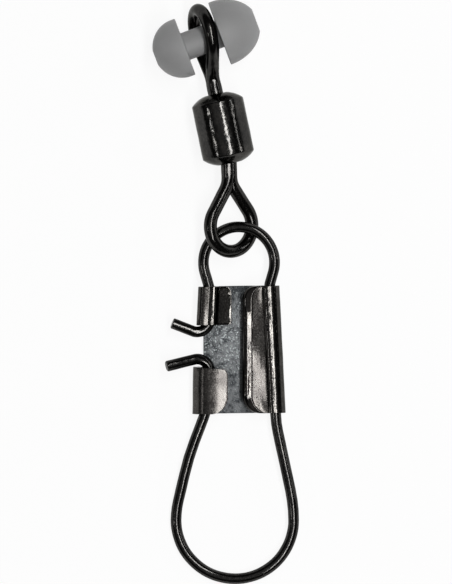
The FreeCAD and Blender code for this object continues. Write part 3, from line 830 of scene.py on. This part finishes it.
def lowerSection(y):
    # the lower left tab, an open pocket that bulges over the wire
    tab, fold = plate["lower"], foldRadius
    first, last = tab["fall"]
    wireX = channelX(y)
    wallX = wireX + fold + tab["flare"] * smooth(y, plateBottom, tab["top"])
    inset = cornerInset(y, tab["top"], tab["topRound"], plateBottom, tab["bottomRound"])
    endX = tab["edge"] + inset
    bulgeX = max(wireX - tab["bulgeAt"], endX + tab["bulgeRoom"])
    crownZ = -fold + tab["fold"] + tab["wall"] + tab["crown"] * tangentOf((90 + first) / 2)
    bulgeZ = crownZ - (wallX - bulgeX) * tangentOf(first)
    crownEnd = wallX - tab["crown"] * tangentOf((90 - first) / 2)
    room = min(crownEnd - bulgeX, bulgeX - endX - tab["endRoom"]) * tab["fit"]
    corners = [
        ((wireX - plate["seam"], 0, -fold), 0),
        ((wallX, 0, -fold), tab["fold"]),
        ((wallX, 0, crownZ), tab["crown"]),
        ((bulgeX, 0, bulgeZ), min(tab["bulge"], room / tangentOf((last - first) / 2))),
        ((endX, 0, bulgeZ - (bulgeX - endX) * tangentOf(last)), 0),
    ]
    return sheetSection(corners)


def plateRows():
    # heights of the rows, packed along each free edge and rounded corner
    upper, lower, notch = plate["upper"], plate["lower"], plate["notchRound"]
    edge = quarterSteps(plate["edgeRound"], "edge")
    ends = [
        (plateBottom, 1, edge + quarterSteps(plate["flangeBottomRound"], "flangeBottom")),
        (lower["top"], -1, edge + quarterSteps(lower["topRound"], "lower")),
        (lower["top"], 1, quarterSteps(notch, "notch")),
        (upper["bottom"], -1, quarterSteps(notch, "notch")),
        (upper["bottom"], 1, edge + quarterSteps(upper["bottomRound"], "upper")),
        (plateTop, -1, edge + quarterSteps(plate["flangeTopRound"], "flangeTop")),
    ]
    rows = sorted(end + side * step for end, side, steps in ends for step in steps)
    filled = [rows[0]]
    for row in rows[1:]:
        start = filled[-1]
        if row - start >= plate["leastRow"]:
            parts = max(1, round((row - start) / plate["rowGap"]))
            filled += [start + (row - start) * i / parts for i in range(1, parts + 1)]
    return filled


def onPlate(x, y, z):
    # the slanted cuts: both plate ends, and the top of the lower tab
    lower = plate["lower"]
    top = lower["top"]
    near = within(y, ((top - lower["slantReach"], top), (lower["slantEnd"], top)))
    y += max(-lower["edge"] - x, 0) * tangentOf(lower["topSlant"]) * near
    return x, y + x * tangentOf(plate["endSlant"]), z


def halfSheet(room):
    # half the sheet's thickness at a distance from its nearest free edge
    edge = plate["edgeRound"]
    return plate["sheet"] / 2 - edge + math.sqrt(edge ** 2 - (edge - min(room, edge)) ** 2)


def plateStrips():
    # each strip's rows; a row is its height, its middle line, its side (1 right, -1 left), and
    # how far the free ends and the free edge are (0 where the line itself ends at that edge)
    upper, lower, notch = plate["upper"], plate["lower"], plate["notchRound"]
    strips = {"back": [], "flange": [], "upperTab": [], "lowerTab": [], "tongue": []}
    parts, far = plate["backParts"], 1.0  # far is more than any rounded edge reaches
    for y in plateRows():
        end = channelX(y) - plate["seam"]
        room = min(plateTop - y, y - plateBottom)
        line = [Vector((-end + 2 * end * i / parts, 0, -foldRadius)) for i in range(parts + 1)]
        strips["back"].append((y, line, 1, room, far))
        strips["flange"].append((y, flangeSection(y), 1, room, 0))
        if y >= upper["bottom"]:
            room = min(plateTop - y, y - upper["bottom"])
            strips["upperTab"].append((y, upperSection(y), -1, room, 0))
        if y <= lower["top"]:
            room = min(lower["top"] - y, y - plateBottom)
            strips["lowerTab"].append((y, lowerSection(y), -1, room, 0))
        if lower["top"] <= y <= upper["bottom"]:
            inset = cornerInset(y, upper["bottom"], notch, lower["top"], notch)
            edge = Vector((plate["notchEdge"] + inset, 0, -foldRadius))
            line = sheetSection([(Vector((end, 0, -foldRadius)), 0), (edge, 0)])
            strips["tongue"].append((y, line, -1, far, 0))
    return strips


def makePlateShape():
    # every point of the middle lines becomes a pair of points, inside and outside the sheet
    shape = bmesh.new()
    finish = plate["finish"]
    pairs, faces, finishes = {}, [], []

    def pairAt(row, i):
        y, line, side, endRoom, edgeRoom = row
        point = line[i]
        x, y, z = onPlate(point.x * side, y, point.z)
        key = (round(x, 4), round(y, 4), round(z, 4))
        if key not in pairs:
            along = (line[min(i + 1, len(line) - 1)] - line[max(i - 1, 0)]).normalized()
            toEdge = edgeRoom or sum((b - a).length for a, b in zip(line[i:], line[i + 1:]))
            half = halfSheet(min(max(endRoom, 0), toEdge))
            inward = Vector((-along.z * side, 0, along.x)) * half
            middle = Vector((x, y, z))
            pairs[key] = (shape.verts.new(middle + inward), shape.verts.new(middle - inward))
        return key

    for name, rows in plateStrips().items():
        inner = finish["dull" if name in ("back", "tongue") else "fold"]
        satin = range(*plate["satin"].get(name, (0, 0)))
        grid = [[pairAt(row, i) for i in range(len(row[1]))] for row in rows]
        for here, there in zip(grid, grid[1:]):
            for i in range(len(here) - 1):
                corners = [here[i], here[i + 1], there[i + 1], there[i]]
                corners = [key for at, key in enumerate(corners) if key not in corners[:at]]
                if len(corners) > 2:
                    faces.append(corners if rows[0][2] > 0 else corners[::-1])
                    finishes.append((inner, finish["satin" if i in satin else "fold"]))
    edges = {}  # an edge that two faces share is no free edge
    for corners in faces:
        for pair in zip(corners, corners[1:] + corners[:1]):
            ends = frozenset(pair)
            edges[ends] = None if ends in edges else pair
    for corners, (inner, outer) in zip(faces, finishes):
        shape.faces.new([pairs[key][0] for key in corners]).material_index = inner
        shape.faces.new([pairs[key][1] for key in reversed(corners)]).material_index = outer
    for pair in edges.values():
        if pair:
            (first, firstOuter), (second, secondOuter) = pairs[pair[0]], pairs[pair[1]]
            shape.faces.new([second, first, firstOuter, secondOuter])
    return shape


def makePlate():
    shape = makePlateShape()
    for depth, size in plate["ripple"]:
        ripple(shape, depth, size)
    piece = makePiece("snapPlate", shape, snapPlace(), plateNickel, plate["sharpAngle"])
    piece.data.materials.append(plateDull)
    piece.data.materials.append(plateSatin)
    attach(piece, "snap")
    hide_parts("snap_plate")


makePlate()
print("snap plate made")

# Floor, light and camera
studio = {
    "frameHeight": 39.71, "cameraDistance": 1.20, "lookAt": (0.016, -0.003), "sensor": 36,
    "clip": (0.01, 10), "floorSize": 3.0, "floorHeight": -0.00002,
    "floorColour": (0.93, 0.93, 0.93), "floorShow": 0.90,
    # the world's glow by height, 0 at the floor's level and 1 straight up
    "surround": {"low": 0.95, "side": 0.05, "top": 0.34, "bands": (0.12, 0.26, 0.80, 0.93)},
    "lampDistance": 0.30,
    "lamps": {
        "topStrip": {"tilt": 13.8, "reach": 0.0, "size": (0.032, 0.36), "glow": 21},
        "rightStrip": {"tilt": 60, "reach": 0.100, "size": (0.016, 0.17), "glow": 9},
        "leftSoft": {"tilt": -47, "reach": -0.042, "size": (0.030, 0.022), "glow": 14},
    },
}


def makeCamera():
    camera = bpy.data.objects.new("camera", bpy.data.cameras.new("camera"))
    bpy.context.scene.collection.objects.link(camera)
    bpy.context.scene.camera = camera
    camera.data.sensor_width = studio["sensor"]
    camera.data.lens = studio["sensor"] * studio["cameraDistance"] * 1000 / studio["frameHeight"]
    camera.data.clip_start, camera.data.clip_end = studio["clip"]
    atX, atY = studio["lookAt"]
    camera.location = (atX / 1000, atY / 1000, studio["cameraDistance"])


def makeFloor():
    mesh = bpy.data.meshes.new("floor")
    half = studio["floorSize"] / 2
    around = ((-half, -half), (half, -half), (half, half), (-half, half))
    mesh.from_pydata([(x, y, studio["floorHeight"]) for x, y in around], [], [(0, 1, 2, 3)])
    floor = bpy.data.objects.new("floor", mesh)
    bpy.context.scene.collection.objects.link(floor)
    material, tree, shader = newMaterial("floorWhite")
    shader.inputs["Base Color"].default_value = (*studio["floorColour"], 1)
    shader.inputs["Roughness"].default_value = 1.0
    shader.inputs["Specular IOR Level"].default_value = 0.0
    path = addNode(tree, "LightPath")  # the floor looks white, also in reflections
    seen = path.outputs["Is Camera Ray"]
    for ray in ("Is Glossy Ray", "Is Transmission Ray"):
        seen = mathOf(tree, "MAXIMUM", seen, path.outputs[ray])
    share = mathOf(tree, "MULTIPLY", seen, studio["floorShow"])
    glow = addNode(tree, "Emission", Color=(1, 1, 1, 1), Strength=1.0)
    both = addNode(tree, "MixShader", i0=share, i1=shader.outputs[0], i2=glow.outputs[0])
    tree.links.new(both.outputs[0], tree.nodes["Material Output"].inputs["Surface"])
    mesh.materials.append(material)


def makeLamp(name, lamp):
    data = bpy.data.lights.new(name, "AREA")
    data.shape = "RECTANGLE"
    data.size, data.size_y = lamp["size"]
    data.energy = lamp["glow"] * math.pi * lamp["size"][0] * lamp["size"][1]
    light = bpy.data.objects.new(name, data)
    bpy.context.scene.collection.objects.link(light)
    spot = Matrix.Rotation(math.radians(lamp["tilt"]), 4, "Y")
    light.matrix_world = spot @ Matrix.Translation((0, lamp["reach"], studio["lampDistance"]))
    light.visible_camera = False


def makeWorld():
    world = bpy.data.worlds.new("tent")
    world.use_nodes = True
    bpy.context.scene.world = world
    tree = world.node_tree
    tree.nodes.clear()
    direction = addNode(tree, "TexCoord").outputs["Generated"]
    height = addNode(tree, "SeparateXYZ", Vector=direction).outputs["Z"]
    around = studio["surround"]
    lowEnd, sideStart, sideEnd, topStart = around["bands"]
    low = spread(tree, height, lowEnd, sideStart, around["low"] - around["side"], 0)
    high = spread(tree, height, sideEnd, topStart, around["side"], around["top"])
    level = mathOf(tree, "ADD", low, high)
    tent = addNode(tree, "Background", Color=(1, 1, 1, 1), Strength=level)
    output = tree.nodes.new("ShaderNodeOutputWorld")
    tree.links.new(tent.outputs[0], output.inputs["Surface"])


bpy.context.scene.view_settings.view_transform = "Standard"
makeCamera()
makeFloor()
for name, lamp in studio["lamps"].items():
    makeLamp(name, lamp)
makeWorld()
print("floor, light and camera set")
